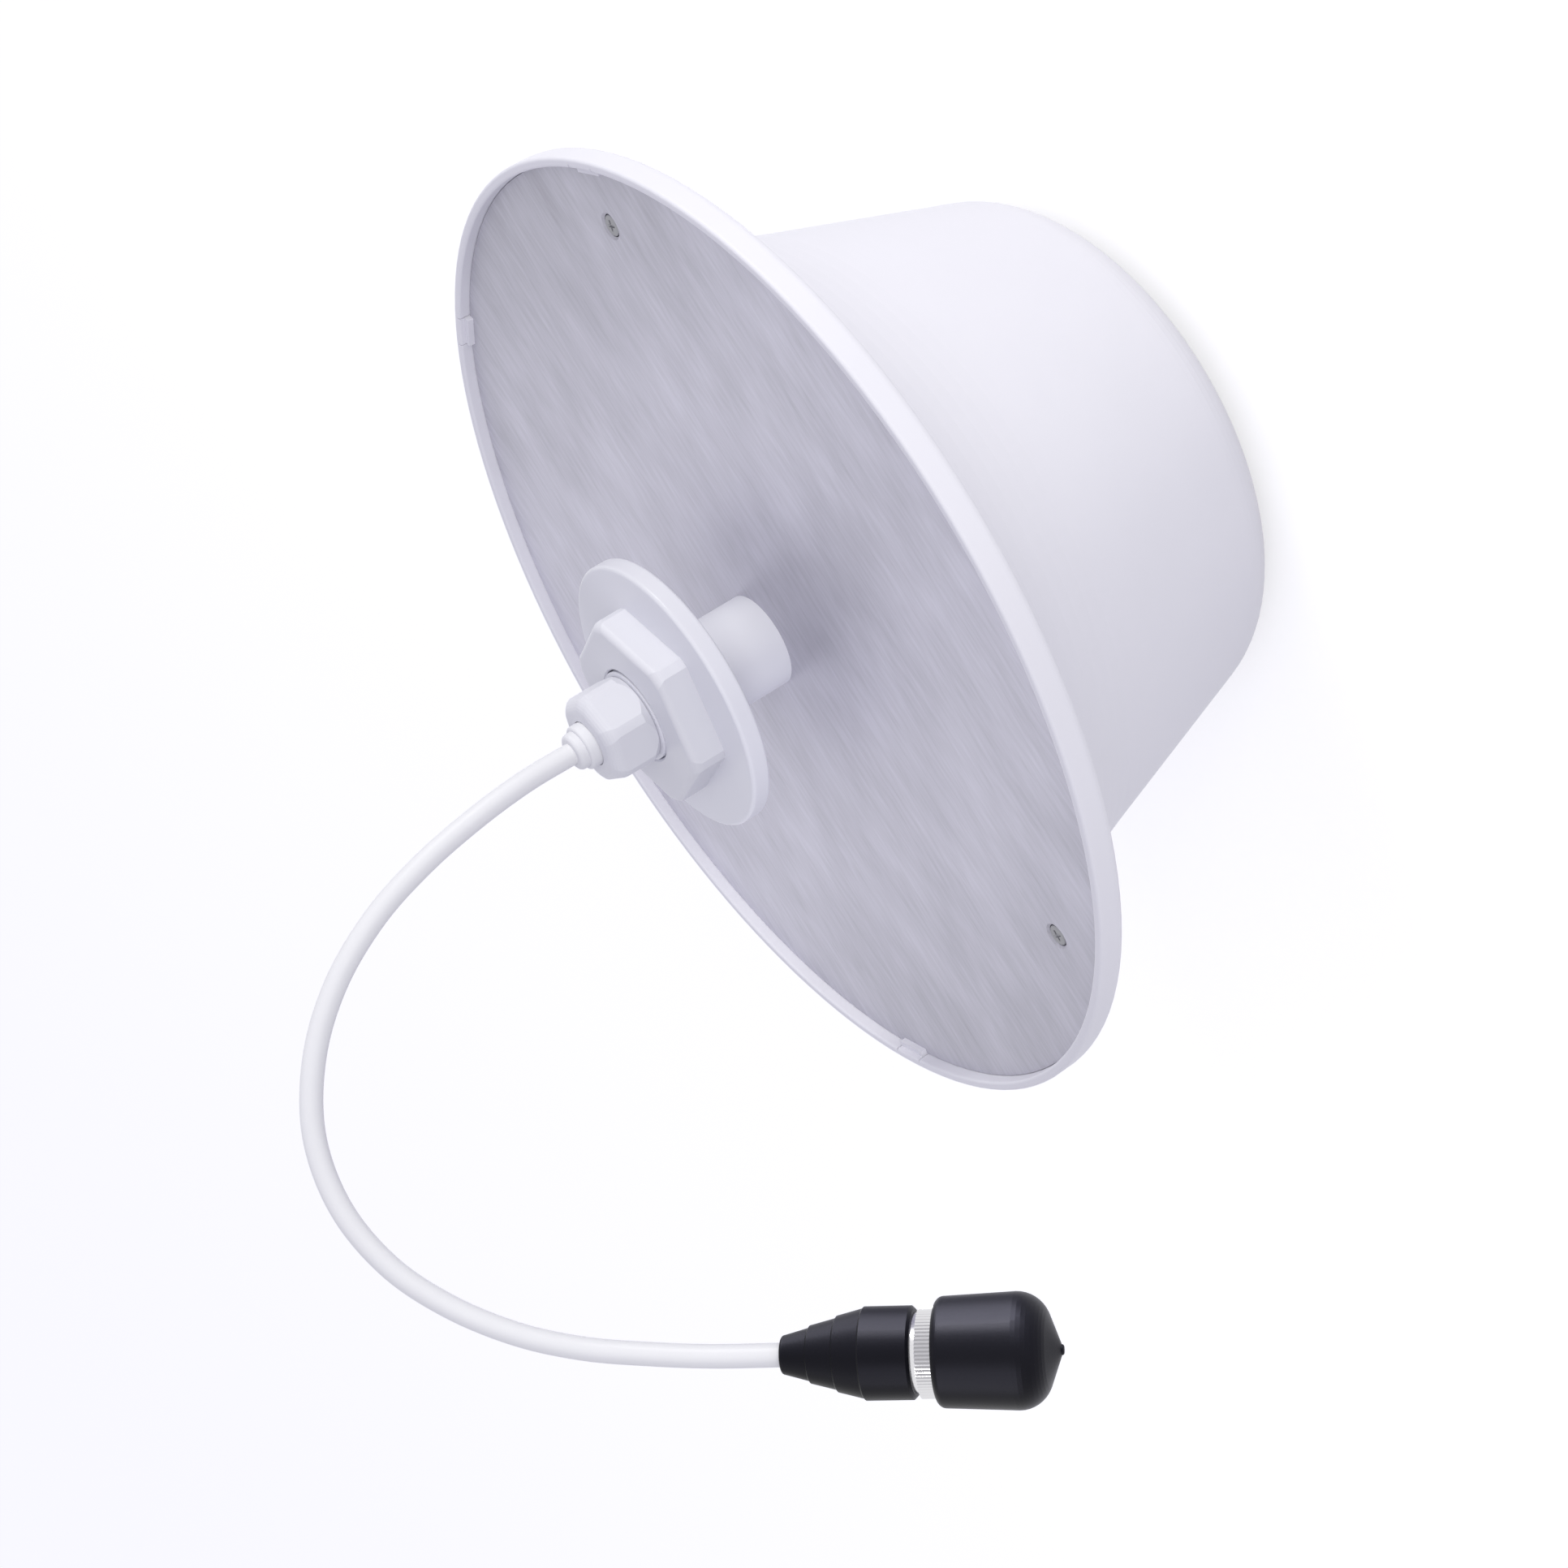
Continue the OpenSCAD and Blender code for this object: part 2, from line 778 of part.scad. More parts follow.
// Push-on cap; its rounded mouth edge starts where it meets the bore
module dust_cap() {
    r = cap_d / 2;
    bore_r = coupling_d / 2 + cap_clear;
    edge_c = r - cap_taper - cap_edge_r;
    edge_from = -acos(max(0, (bore_r - edge_c) / cap_edge_r));
    floor_at = cap_end - cap_end_wall;
    tip_end = cap_end + cap_tip_l;
    color(black)
        on_connector()
            revolve_up(concat(
                bore_r < edge_c ? [[bore_r, cap_at]] : [],
                arc([edge_c, cap_at + cap_edge_r], cap_edge_r, edge_from, 0, 6),
                arc([r - cap_end_r, cap_end - cap_end_r], cap_end_r, 0, cap_shoulder, 8),
                arc([cap_tip_r - cap_tip_edge, tip_end - cap_tip_edge], cap_tip_edge, 0, 90, 4),
                [[0, tip_end], [0, floor_at], [bore_r, floor_at]]));
}

radome();
ground_plane();
stem();
clamp_washer();
clamp_nut();
gland_nut();
gland_seal();
cable();
feed_braid();
feed_dielectric();
feed_conductor();
ground_tag();
lock_nut();
feed_pin();
radiator_cone();
radiator_disc();
weld_studs();
standoffs();
standoff_screws();
shorting_straps();
connector_boot();
crimp_ferrule();
connector_body();
connector_insulator();
connector_contact();
dust_cap();
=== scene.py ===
"""A white ceiling dome antenna with its coaxial tail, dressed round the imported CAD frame, in metres."""

import json
import math

import bmesh
import bpy
from mathutils import Matrix, Vector


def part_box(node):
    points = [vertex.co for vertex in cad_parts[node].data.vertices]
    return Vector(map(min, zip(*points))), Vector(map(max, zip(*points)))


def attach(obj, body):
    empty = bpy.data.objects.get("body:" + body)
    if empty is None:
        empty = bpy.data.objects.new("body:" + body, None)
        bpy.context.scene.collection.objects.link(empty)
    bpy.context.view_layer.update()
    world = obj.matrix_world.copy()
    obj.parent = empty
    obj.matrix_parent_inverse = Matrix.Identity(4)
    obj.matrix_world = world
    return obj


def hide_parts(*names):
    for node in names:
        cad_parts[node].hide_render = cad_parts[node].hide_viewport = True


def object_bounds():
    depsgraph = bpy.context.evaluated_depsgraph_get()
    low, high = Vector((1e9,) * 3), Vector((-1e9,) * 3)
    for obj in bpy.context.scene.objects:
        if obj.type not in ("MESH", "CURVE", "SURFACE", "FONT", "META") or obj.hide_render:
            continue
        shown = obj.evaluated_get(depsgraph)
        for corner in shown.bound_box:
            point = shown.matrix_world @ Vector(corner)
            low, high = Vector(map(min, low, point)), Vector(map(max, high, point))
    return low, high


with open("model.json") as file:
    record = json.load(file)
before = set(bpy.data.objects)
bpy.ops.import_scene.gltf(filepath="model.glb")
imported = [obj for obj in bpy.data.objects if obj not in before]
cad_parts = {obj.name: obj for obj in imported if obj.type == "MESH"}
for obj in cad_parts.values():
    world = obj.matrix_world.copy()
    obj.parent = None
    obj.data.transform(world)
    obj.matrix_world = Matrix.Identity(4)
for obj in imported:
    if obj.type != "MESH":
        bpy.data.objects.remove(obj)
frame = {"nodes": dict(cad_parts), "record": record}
cad_low, cad_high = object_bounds()
nodes = frame["nodes"]
record = frame["record"]
scene = bpy.context.scene
scene.view_settings.view_transform = "Standard"

MM = 0.001

# Camera, in the part's frame. The photograph is turned: its upper side looks along +X
CAMERA_AT = Vector((-24.7, -470.6, 192.0)) * MM
CAMERA_RIGHT = Vector((-0.5321, -0.3068, -0.7891))
CAMERA_UP = Vector((0.8467, -0.1944, -0.4953))
CAMERA_LENS = 65.55
CAMERA_SENSOR = 36.0

# Cable: the route of the CAD tube, from inside the gland's seal to inside the boot
CABLE_D = 4.0 * MM
CABLE_SIDES = 40
CABLE_STEPS = 14
CABLE_ROUTE = [
    (0, 0, 28.6), (0, 0, 39), (0, 0, 49), (-1, 0.5, 60), (-3, 1.5, 71.5), (-6.5, 3, 83),
    (-12.5, 5.5, 94), (-21, 8.5, 103), (-32, 11, 109.5), (-44.5, 12, 112), (-57, 11.5, 110.5),
    (-68, 9.5, 106), (-78, 6, 99.5), (-86, 2, 92), (-92.5, -3, 84), (-98, -8, 76.5),
    (-103.5, -14, 68), (-106.25, -17, 63.75),
]


def make_camera():
    data = bpy.data.cameras.new("photo_camera")
    data.lens = CAMERA_LENS
    data.sensor_width = CAMERA_SENSOR
    camera = bpy.data.objects.new("photo_camera", data)
    back = CAMERA_RIGHT.cross(CAMERA_UP).normalized()
    right = CAMERA_UP.cross(back).normalized()
    up = back.cross(right)
    turn = Matrix((right, up, back)).transposed().to_4x4()
    camera.matrix_world = Matrix.Translation(CAMERA_AT) @ turn
    scene.collection.objects.link(camera)
    scene.camera = camera


def skin(name, rings, smooth):
    """A closed piece of the antenna: rings of points, joined each to the next and capped at both ends."""
    mesh = bmesh.new()
    rows = [[mesh.verts.new(point) for point in ring] for ring in rings]
    count = len(rows[0])
    for first, second in zip(rows, rows[1:]):
        for k in range(count):
            after = (k + 1) % count
            face = mesh.faces.new((first[k], first[after], second[after], second[k]))
            face.smooth = smooth
    mesh.faces.new(reversed(rows[0]))
    mesh.faces.new(rows[-1])
    bmesh.ops.recalc_face_normals(mesh, faces=mesh.faces)
    data = bpy.data.meshes.new(name)
    mesh.to_mesh(data)
    mesh.free()
    piece = bpy.data.objects.new(name, data)
    scene.collection.objects.link(piece)
    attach(piece, "antenna")
    return piece


def smooth_line(points, steps):
    """Points along one smooth curve through the given ones."""
    last = len(points) - 1
    line = []
    for i in range(last):
        before, start, end, after = (points[min(max(k, 0), last)] for k in range(i - 1, i + 3))
        for step in range(steps):
            t = step / steps
            line.append(0.5 * (2 * start + (end - before) * t
                               + (2 * before - 5 * start + 4 * end - after) * t ** 2
                               + (3 * start - before - 3 * end + after) * t ** 3))
    return line + [points[last]]


def make_cable():
    """The sheath as one smooth round tube along the route."""
    line = smooth_line([Vector(p) * MM for p in CABLE_ROUTE], CABLE_STEPS)
    side = Vector((1, 0, 0))
    rings = []
    for i, point in enumerate(line):
        way = (line[min(i + 1, len(line) - 1)] - line[max(i - 1, 0)]).normalized()
        side = (side - way * side.dot(way)).normalized()
        across = way.cross(side)
        turns = [2 * math.pi * k / CABLE_SIDES for k in range(CABLE_SIDES)]
        rings.append([point + CABLE_D / 2 * (side * math.cos(a) + across * math.sin(a)) for a in turns])
    cable = skin("cable_sheath", rings, smooth=True)
    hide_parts("cable")
    return cable


make_camera()
cable = make_cable()

# The connector's mount: the middle of its open end, and the way that it faces
coax = next(m for m in record["mounts"] if m["name"] == "coax_connector")
coax_end = Vector(coax["pos_m"])
coax_way = Vector(coax["axis"])


class Wire:
    """An output of a material's node. Sums and products of wires add Math nodes."""

    def __init__(self, finish, socket):
        self.finish = finish
        self.socket = socket

    def math(self, operation, first, second):
        return self.finish.node("Math", {"operation": operation}, {0: first, 1: second})

    def __add__(self, other):
        return self.math("ADD", self, other)

    def __radd__(self, other):
        return self.math("ADD", other, self)

    def __sub__(self, other):
        return self.math("SUBTRACT", self, other)

    def __rsub__(self, other):
        return self.math("SUBTRACT", other, self)

    def __mul__(self, other):
        return self.math("MULTIPLY", self, other)

    def __rmul__(self, other):
        return self.math("MULTIPLY", other, self)

    def __pow__(self, other):
        return self.math("POWER", self, other)


# The colour sockets of a Mix node
MIX_LOW = 6
MIX_HIGH = 7
MIX_COLOUR = 2


class Finish:
    """A material under construction: its nodes, and the surface that they end in."""

    def __init__(self, name, tree=None):
        if tree is None:
            self.material = bpy.data.materials.new(name)
            self.material.use_nodes = True
            tree = self.material.node_tree
        self.tree = tree
        self.tree.nodes.clear()

    def node(self, kind, settings=None, sockets=None, output=0):
        made = self.tree.nodes.new("ShaderNode" + kind)
        for setting, value in (settings or {}).items():
            setattr(made, setting, value)
        for socket, value in (sockets or {}).items():
            if isinstance(value, Wire):
                self.tree.links.new(value.socket, made.inputs[socket])
            else:
                made.inputs[socket].default_value = value
        return Wire(self, made.outputs[output]) if made.outputs else None

    def place(self, stretch=(1, 1, 1)):
        """Place on the piece, in millimetres, squeezed or stretched along each axis."""
        here = self.node("TexCoord", output="Object")
        size = tuple(s / MM for s in stretch)
        return self.node("VectorMath", {"operation": "MULTIPLY"}, {0: here, 1: size})

    def noise(self, place, grain, detail=3.0):
        """Cloudy value about 0, with lumps of the given size in millimetres."""
        return self.node("TexNoise", None, {"Vector": place, "Scale": 1 / grain, "Detail": detail}) - 0.5

    def ramp(self, value, low, high):
        """0 where the value is at low, 1 where it is at high, and held there beyond."""
        return self.node("MapRange", None, {"Value": value, "From Min": low, "From Max": high})

    def blend(self, factor, low, high):
        """Colour between two colours."""
        low, high = (end if isinstance(end, Wire) else (*end, 1) for end in (low, high))
        return self.node("Mix", {"data_type": "RGBA"},
                         {"Factor": factor, MIX_LOW: low, MIX_HIGH: high}, output=MIX_COLOUR)

    def bump(self, height, depth_mm, strength=1.0):
        """Relief of the given depth where the height goes from 0 to 1."""
        return self.node("Bump", None, {"Height": height, "Distance": depth_mm * MM, "Strength": strength})

    def surface(self, **sockets):
        """Ends the material in one plain surface shader."""
        named = {key.replace("_", " ").title().replace("Ior", "IOR"): value
                 for key, value in sockets.items()}
        shader = self.node("BsdfPrincipled", None, named)
        self.node("OutputMaterial", None, {"Surface": shader})
        return self.material


def shade(colour, amount):
    """A colour made darker or lighter."""
    return tuple(min(1.0, c * amount) for c in colour)


# Moulded pieces: size of the clouding in millimetres, and how far it and the grain move colour and gloss
MOULD_CLOUD = 30
MOULD_TINT = 0.025
MOULD_GLOSS_CLOUD = 0.10
MOULD_GLOSS_GRAIN = 0.06


def moulded(name, colour, roughness, shine, grain_mm, grain_depth, gloss=(1, 1, 1)):
    """Moulded plastic or rubber: slow clouding of colour and gloss, and a fine grain."""
    f = Finish(name)
    place = f.place()
    cloud = f.noise(place, MOULD_CLOUD)
    grain = f.noise(place, grain_mm)
    return f.surface(
        base_color=f.blend(0.5 + cloud, shade(colour, 1 - MOULD_TINT), shade(colour, 1 + MOULD_TINT)),
        roughness=roughness + MOULD_GLOSS_CLOUD * cloud + MOULD_GLOSS_GRAIN * grain,
        specular_ior_level=shine,
        specular_tint=(*gloss, 1),
        normal=f.bump(grain, grain_depth))


# Marks of the brushing: how many times each is drawn out along X, its size in millimetres, and its detail
SCRATCH = (12, 0.4, 2.0)
STREAK = (8, 1.2, 2.0)
CLOUD = (2, 10, 1.0)
# How far each mark moves the sheet's tone and gloss
SCRATCH_TONE = 0.5
STREAK_TONE = 0.67
CLOUD_TONE = 0.56
MARK_GLOSS = 0.2
# The sheet's own tone, between the darkest and the lightest share of its colour, and its roughness
SHEET_TONE = 0.68
SHEET_DARKEST = 0.66
SHEET_LIGHTEST = 1.16
SHEET_ROUGHNESS = 0.58
# Painted sheen: where the tone starts and ends its fade along X, in millimetres, and how far it falls there
PAINTED_SHEEN_AHEAD = (40, 95)
PAINTED_SHEEN_BEHIND = (-40, -95)
PAINTED_SHEEN_FALL_AHEAD = 0.52
PAINTED_SHEEN_FALL_BEHIND = 0.38


def brushed(name, colour):
    """Sheet brushed along X: scratches, broader streaks, a slow cloud, and a painted sheen that darkens the colour
    towards both ends.
    """
    f = Finish(name)
    scratch, streak, cloud = (f.noise(f.place((1 / drawn_out, 1, 1)), size, detail)
                              for drawn_out, size, detail in (SCRATCH, STREAK, CLOUD))
    x = f.node("SeparateXYZ", None, {0: f.place()}, output="X")
    # Painted sheen: the colour's tone falls towards both ends of the sheet along X
    fade = PAINTED_SHEEN_FALL_AHEAD * f.ramp(x, *PAINTED_SHEEN_AHEAD) + PAINTED_SHEEN_FALL_BEHIND * f.ramp(x, *PAINTED_SHEEN_BEHIND)
    tone = SHEET_TONE + SCRATCH_TONE * scratch + STREAK_TONE * streak + CLOUD_TONE * cloud - fade
    return f.surface(
        base_color=f.blend(tone, shade(colour, SHEET_DARKEST), shade(colour, SHEET_LIGHTEST)),
        metallic=0.5,
        roughness=SHEET_ROUGHNESS + MARK_GLOSS * scratch + MARK_GLOSS * streak,
        specular_ior_level=0.3,
        normal=f.bump(scratch, depth_mm=0.015, strength=0.6))


# Plated metal: sizes of its clouding and tool marks in millimetres, and how far they move its gloss
METAL_CLOUD = 6
TOOL_MARKS = 0.4
METAL_GLOSS_CLOUD = 0.12
METAL_GLOSS_MARKS = 0.08
# Share of the colour in a knurl's grooves, where painted shade darkens it
PAINTED_GROOVE_SHADE = 0.8


def plated(name, colour, roughness, tarnish=0.08, groove_shade_mask=None):
    """Plated or turned metal: faint clouding, fine tool marks, and painted shade in a knurl's grooves."""
    f = Finish(name)
    place = f.place()
    cloud = f.noise(place, METAL_CLOUD)
    marks = f.noise(place, TOOL_MARKS)
    base = f.blend(0.5 + cloud, shade(colour, 1 - tarnish), shade(colour, 1 + tarnish))
    # Painted shade: the colour darkens in the knurl's grooves
    if groove_shade_mask is not None:
        base = f.blend(groove_shade_mask(f, place), base, shade(colour, PAINTED_GROOVE_SHADE))
    return f.surface(
        base_color=base,
        metallic=1.0,
        roughness=roughness + METAL_GLOSS_CLOUD * cloud + METAL_GLOSS_MARKS * marks,
        normal=f.bump(marks, depth_mm=0.005))


# Knurl of the coupling: its place before the open end, and the radii of its grooves and crests, in millimetres
KNURL_FROM = -13.2
KNURL_TO = -9.8
KNURL_GROOVE_R = 7.08
KNURL_CREST_R = 7.35


def knurl_groove_shade_mask(f, place):
    """1 in the grooves of the coupling's knurl: the mask of their painted shade."""
    off = f.node("VectorMath", {"operation": "SUBTRACT"}, {0: place, 1: coax_end / MM})
    along = f.node("VectorMath", {"operation": "DOT_PRODUCT"}, {0: off, 1: coax_way}, output="Value")
    far = f.node("VectorMath", {"operation": "LENGTH"}, {0: off}, output="Value")
    radius = (far * far - along * along) ** 0.5
    return (f.ramp(radius, KNURL_CREST_R, KNURL_GROOVE_R)
            * along.math("GREATER_THAN", along, KNURL_FROM) * along.math("LESS_THAN", along, KNURL_TO))


# Braid: strands each way round the core, their turn in radians a millimetre, and the share of colour where they
# dip, a painted shade between the strands
STRANDS = 8
STRAND_TURN = 5
PAINTED_DIP_SHADE = 0.7


def braided(name, colour):
    """Tinned braid: two sets of strands that cross round the cable, with painted shade where they dip."""
    f = Finish(name)
    place = f.place()
    x, y, z = (f.node("SeparateXYZ", None, {0: place}, output=axis) for axis in "XYZ")
    round_the_core = x.math("ARCTAN2", y, x)
    one_way = f.node("Math", {"operation": "SINE"}, {0: STRANDS * round_the_core + STRAND_TURN * z})
    other_way = f.node("Math", {"operation": "SINE"}, {0: STRANDS * round_the_core - STRAND_TURN * z})
    # The weave is low where the strands dip; there the colour takes painted shade
    weave = 0.5 + 0.5 * one_way * other_way
    return f.surface(
        base_color=f.blend(weave, shade(colour, PAINTED_DIP_SHADE), colour),
        metallic=1.0,
        roughness=0.3 + 0.2 * weave,
        normal=f.bump(weave, depth_mm=0.1))


# The black pieces: their colour, and the tint of their gloss
DEEP_BLACK = (0.0012, 0.0012, 0.002)
BLUISH = (0.84, 0.83, 1.0)

# The finish of each of the record's material slots
FINISHES = {
    "radome_plastic": moulded("satin_white_shell", (0.83, 0.822, 0.872),
                              roughness=0.42, shine=0.25, grain_mm=0.5, grain_depth=0.006),
    "fitting_plastic": moulded("smooth_white_fitting", (0.74, 0.74, 0.79),
                               roughness=0.36, shine=0.25, grain_mm=0.7, grain_depth=0.005),
    "seal_rubber": moulded("soft_white_seal", (0.80, 0.80, 0.83),
                           roughness=0.5, shine=0.2, grain_mm=0.6, grain_depth=0.01),
    "cable_jacket": moulded("white_cable_sheath", (0.81, 0.81, 0.83),
                            roughness=0.38, shine=0.25, grain_mm=1.2, grain_depth=0.003),
    "brushed_plate": brushed("brushed_ground_plane", (0.488, 0.480, 0.538)),
    "tinned_copper": braided("tinned_braid", (0.62, 0.60, 0.57)),
    "insulator": moulded("waxy_insulator", (0.80, 0.80, 0.77),
                         roughness=0.45, shine=0.4, grain_mm=0.8, grain_depth=0.01),
    "brass": plated("turned_brass", (0.70, 0.52, 0.22), roughness=0.28),
    "zinc_steel": plated("zinc_steel", (0.36, 0.36, 0.39), roughness=0.34),
    "tinplate": plated("bright_tinplate", (0.62, 0.62, 0.64), roughness=0.3),
    "nickel": plated("bright_nickel", (0.76, 0.755, 0.78), roughness=0.2, tarnish=0.05, groove_shade_mask=knurl_groove_shade_mask),
    "boot_rubber": moulded("satin_black_boot", DEEP_BLACK,
                           roughness=0.37, shine=0.12, grain_mm=0.3, grain_depth=0.01, gloss=BLUISH),
    "cap_vinyl": moulded("dipped_black_cap", DEEP_BLACK,
                         roughness=0.37, shine=0.15, grain_mm=0.5, grain_depth=0.008, gloss=BLUISH),
}
DULL_ZINC = plated("dull_zinc", (0.33, 0.33, 0.36), roughness=0.5)


def wear(piece, finish):
    """Gives a piece one finish all over."""
    piece.data.materials.clear()
    piece.data.materials.append(finish)


for part in record["subparts"]:
    wear(nodes[part["node"]], FINISHES[part["material_slot"]])
wear(cable, FINISHES["cable_jacket"])

# Threads, as ridges wound over the CAD cylinders: steps in a turn, how deep a ridge is rooted, its half width at
# foot and crest as shares of the pitch, and the least share of its height where it fades
RIDGE_STEPS = 48
RIDGE_ROOT = 0.04 * MM
RIDGE_FOOT = 0.38
RIDGE_CREST = 0.12
RIDGE_LEAST = 0.1
STEM_R = 8.7 * MM
STEM_THREAD_LOW = 13.0 * MM
STEM_THREAD_HIGH = 24.8 * MM
STEM_PITCH = 2.0 * MM
STEM_RIDGE = 0.2 * MM
COUPLING_R = 7.9 * MM
COUPLING_THREAD_L = 8.4 * MM
COUPLING_PITCH = 1.06 * MM
COUPLING_RIDGE = 0.1 * MM


def thread_ridge(name, slot, radius, ridge, pitch, low, high, stand):
    """A bead of trapezoid section wound along an axis, fading in and out over half a turn."""
    count = round((high - low) / pitch * RIDGE_STEPS)
    rings = []
    for i in range(count + 1):
        angle = 2 * math.pi * i / RIDGE_STEPS
        rise = low + (high - low) * i / count
        fade = min(1.0, 2 * i / RIDGE_STEPS, 2 * (count - i) / RIDGE_STEPS)
        crest = radius + ridge * max(fade, RIDGE_LEAST)
        root = radius - RIDGE_ROOT
        section = ((root, -RIDGE_FOOT), (crest, -RIDGE_CREST), (crest, RIDGE_CREST), (root, RIDGE_FOOT))
        rings.append([stand @ Vector((r * math.cos(angle), r * math.sin(angle), rise + s * pitch))
                      for r, s in section])
    wear(skin(name, rings, smooth=False), FINISHES[slot])


coax_stand = Matrix.Translation(coax_end) @ coax_way.to_track_quat("Z", "Y").to_matrix().to_4x4()

thread_ridge("stem_thread", "fitting_plastic", STEM_R, STEM_RIDGE, STEM_PITCH,
             STEM_THREAD_LOW, STEM_THREAD_HIGH, Matrix.Identity(4))
thread_ridge("coupling_thread", "nickel", COUPLING_R, COUPLING_RIDGE, COUPLING_PITCH,
             -COUPLING_THREAD_L, -COUPLING_PITCH / 2, coax_stand)

# Cross-head screws in the ground plane's fixing holes, just under its face
SCREW_COUNT = 3
SCREW_AT_R = 80.0 * MM
SCREW_FIRST = math.radians(90)
SCREW_R = 1.95 * MM
SCREW_SINK = 0.15 * MM
SCREW_SIDES = 48
# How far each screw was driven round, in radians: the first, and each one more than that before it
SCREW_TURN = 0.4
SCREW_TURN_STEP = 1.1
# The cross recess: half its length and half the width of its arms
CROSS_L = 1.15 * MM
CROSS_W = 0.28 * MM
# Rings of the head, as shares of its radius, and of the cross, as shares of its reach, each with its depth
# below the top in millimetres
HEAD_RINGS = ((0.62, 1.3), (1.0, 0.35), (0.97, 0.15), (0.88, 0.04), (0.72, 0.0))
CROSS_RINGS = ((1.0, 0.0), (0.94, 0.05), (0.75, 0.3))


def cross_reach(angle):
    """Distance from the middle of a cross recess to its edge."""
    quarter = math.pi / 2
    off = abs((angle + quarter / 2) % quarter - quarter / 2)
    return CROSS_W / max(math.sin(off), CROSS_W / CROSS_L)


def fixing_screw(name, middle, turn):
    """A countersunk screw head with a cross recess."""
    turns = [2 * math.pi * k / SCREW_SIDES for k in range(SCREW_SIDES)]

    def ring(reach, share, depth):
        return [middle + Vector((reach(a) * share * math.cos(a + turn), reach(a) * share * math.sin(a + turn),
                                 -depth * MM)) for a in turns]

    rings = [ring(lambda a: SCREW_R, *row) for row in HEAD_RINGS]
    rings += [ring(cross_reach, *row) for row in CROSS_RINGS]
    wear(skin(name, rings, smooth=False), DULL_ZINC)


plate_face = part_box("ground_plane")[1].z
for i in range(SCREW_COUNT):
    angle = SCREW_FIRST + 2 * math.pi * i / SCREW_COUNT
    at = Vector((SCREW_AT_R * math.cos(angle), SCREW_AT_R * math.sin(angle), plate_face - SCREW_SINK))
    fixing_screw(f"fixing_screw_{i + 1}", at, SCREW_TURN + SCREW_TURN_STEP * i)

# Floor, soft light from all round, and the lamps. The lift whitens the floor where it is seen
FLOOR_SIZE = 200.0
FLOOR_COLOUR = (0.82, 0.82, 0.82, 1)
FLOOR_LIFT = 0.48
SKY_COLOUR = (0.88, 0.875, 1.0, 1)
SKY_STRENGTH = 0.65
LAMP_FAR = 1.5
WARM = (1.0, 1.0, 0.93)
COOL = (0.92, 0.92, 1.0)
STEM_FOOT = Vector((0, 0, 10)) * MM
PLATE = ["ground_plane"]
STEM_PIECES = ["stem", "clamp_washer"]
BLACK_PIECES = ["connector_boot", "dust_cap"]


def seen_directly(finish):
    """1 for rays from the camera, a mirror or glass; 0 for light that reaches a surface."""
    camera, mirror, glass = (finish.node("LightPath", output=f"Is {ray} Ray")
                             for ray in ("Camera", "Glossy", "Transmission"))
    return camera.math("MAXIMUM", camera, mirror.math("MAXIMUM", mirror, glass))


def make_floor():
    half = FLOOR_SIZE / 2
    corners = [(-half, -half, 0), (half, -half, 0), (half, half, 0), (-half, half, 0)]
    data = bpy.data.meshes.new("floor")
    data.from_pydata(corners, [], [(0, 1, 2, 3)])
    floor = bpy.data.objects.new("floor", data)
    floor.location.z = cad_low.z
    scene.collection.objects.link(floor)
    f = Finish("pale_floor")
    paint = f.node("BsdfDiffuse", None, {"Color": FLOOR_COLOUR})
    lift = f.node("Emission", None, {"Strength": FLOOR_LIFT * seen_directly(f)})
    both = f.node("AddShader", None, {0: paint, 1: lift})
    f.node("OutputMaterial", None, {"Surface": both})
    data.materials.append(f.material)


def make_sky():
    world = bpy.data.worlds.new("studio")
    world.use_nodes = True
    scene.world = world
    f = Finish("studio", world.node_tree)
    light = f.node("Background", None, {"Color": SKY_COLOUR, "Strength": SKY_STRENGTH})
    white = f.node("Background", None, {"Color": (1, 1, 1, 1), "Strength": 1.0})
    mixed = f.node("MixShader", None, {"Fac": seen_directly(f), 1: light, 2: white})
    f.node("OutputWorld", None, {"Surface": mixed})


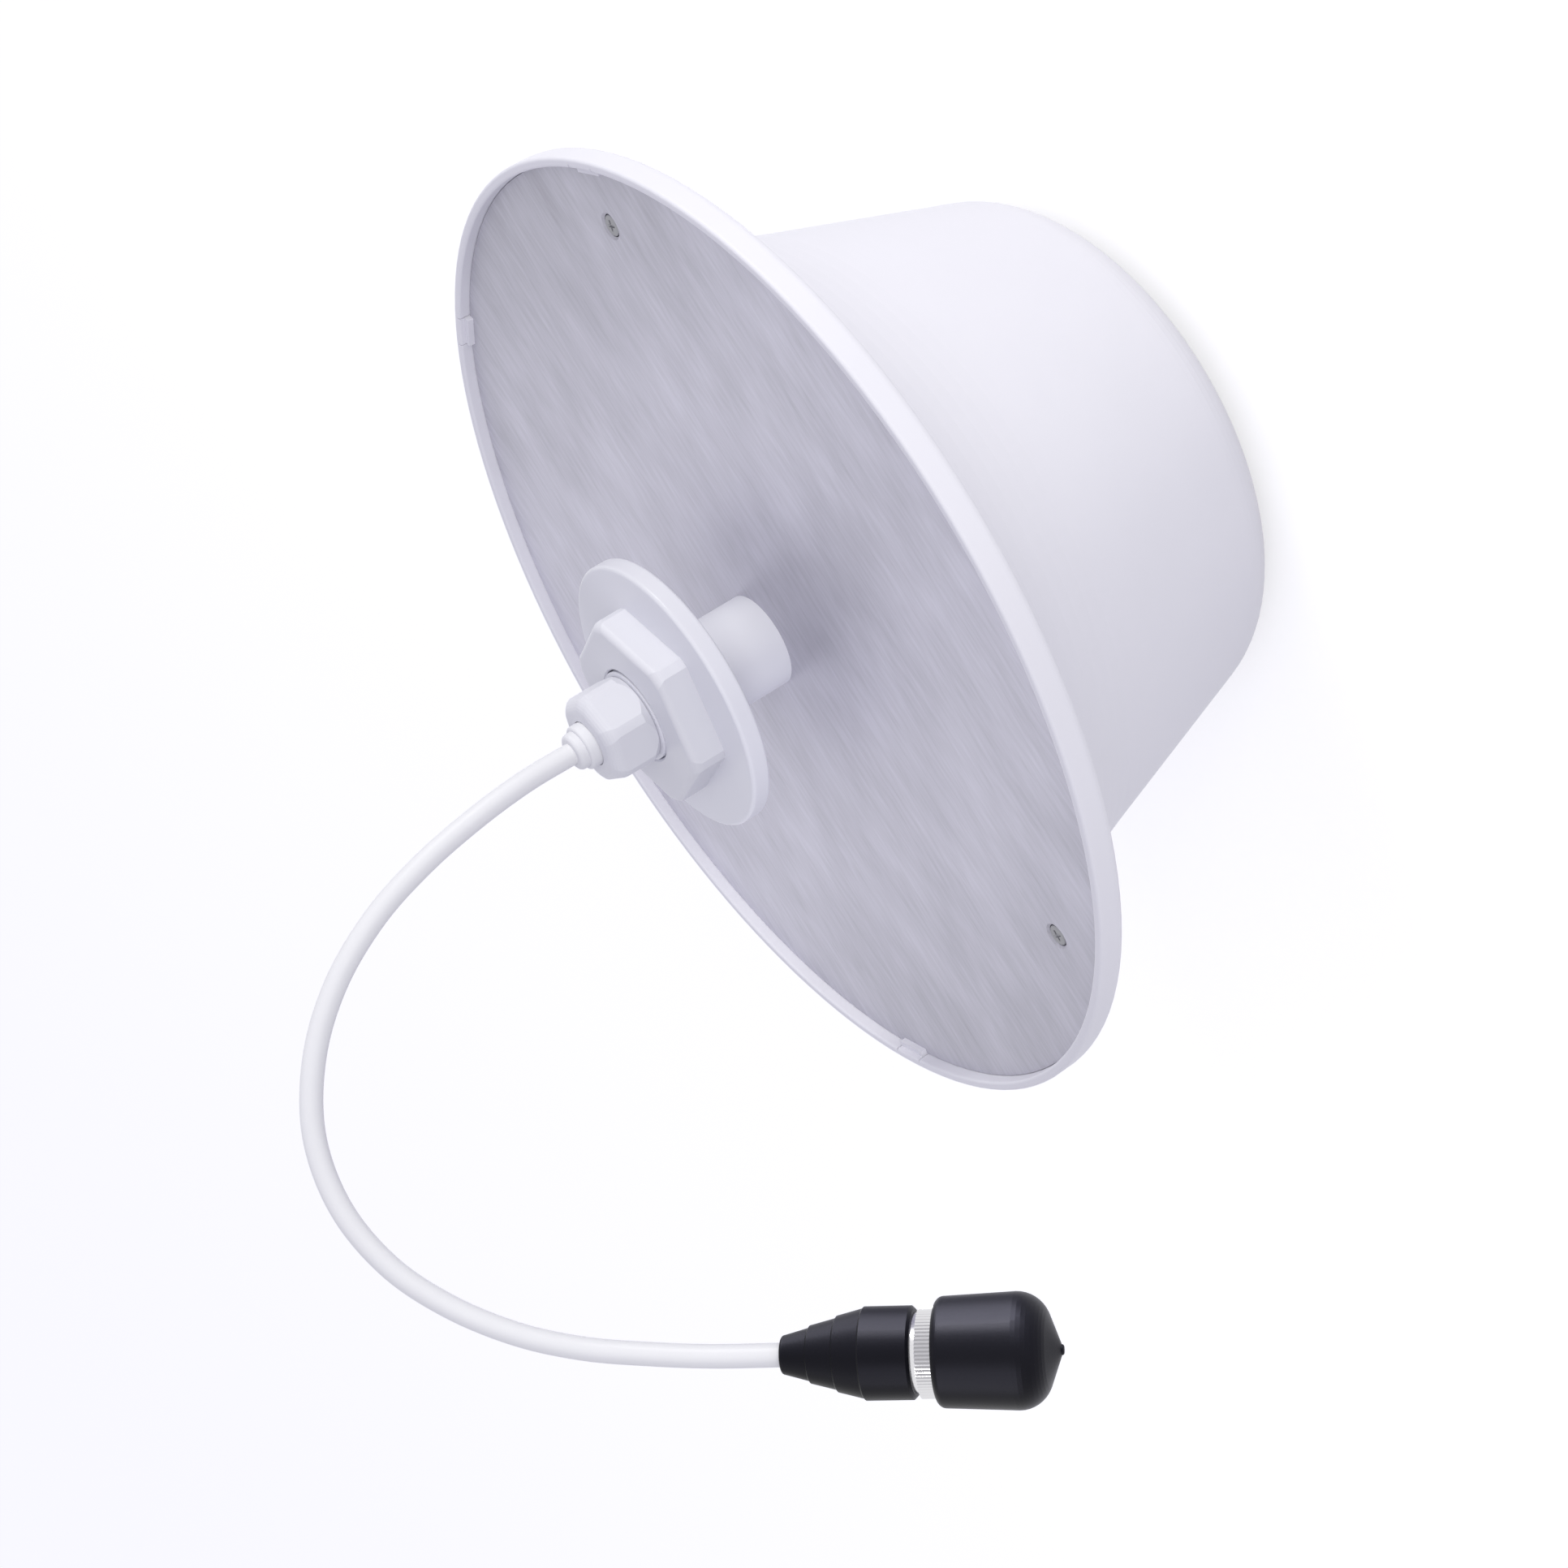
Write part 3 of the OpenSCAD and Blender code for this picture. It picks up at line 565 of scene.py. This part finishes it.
def group(name, pieces):
    """A collection of CAD nodes."""
    made = bpy.data.collections.new(name)
    for piece in pieces:
        made.objects.link(nodes[piece])
    return made


def make_lamp(name, target, way, power, colour, size, in_gloss=False, lit=None, shading=None):
    """A lamp that stands the given way from its target. The pieces that it lights, and those that cast
    its shadow, are all of them unless they are listed."""
    data = bpy.data.lights.new(name, "AREA")
    data.shape = "RECTANGLE"
    data.energy = power
    data.size, data.size_y = size
    data.color = colour
    lamp = bpy.data.objects.new(name, data)
    way = Vector(way).normalized()
    lamp.location = target + way * LAMP_FAR
    lamp.rotation_mode = "QUATERNION"
    lamp.rotation_quaternion = way.to_track_quat("Z", "Y")
    lamp.visible_glossy = in_gloss
    scene.collection.objects.link(lamp)
    if lit:
        lamp.light_linking.receiver_collection = group(name + "_lights", lit)
    if shading:
        lamp.light_linking.blocker_collection = group(name + "_shadows", shading)


make_floor()
make_sky()
make_lamp("soft_box", STEM_FOOT, way=(0.91, -0.40, 0.03), power=7.2, colour=WARM, size=(0.34, 0.22), in_gloss=True)
make_lamp("front_fill", STEM_FOOT, way=(0.02, -0.95, 0.30), power=7.5, colour=WARM, size=(0.9, 0.9))
make_lamp("stem_fill", STEM_FOOT, way=(-0.85, -0.25, 0.35), power=4.5, colour=COOL, size=(0.6, 0.6),
          lit=STEM_PIECES, shading=STEM_PIECES)
make_lamp("plate_fill", STEM_FOOT, way=(0.0, 0.0, 1.0), power=7.0, colour=COOL, size=(0.6, 0.6),
          lit=PLATE, shading=PLATE)
make_lamp("back_light", STEM_FOOT, way=(0.0, 0.86, 0.50), power=12.0, colour=COOL, size=(0.3, 0.3),
          lit=PLATE, shading=["stem"])
make_lamp("connector_strip", coax_end, way=(0.94, -0.20, -0.26), power=140.0, colour=COOL, size=(2.0, 0.5),
          in_gloss=True, lit=BLACK_PIECES, shading=BLACK_PIECES)
make_lamp("connector_fill", coax_end, way=(-0.51, -0.35, 0.785), power=14.0, colour=COOL, size=(1.6, 1.2),
          in_gloss=True, lit=BLACK_PIECES, shading=BLACK_PIECES)
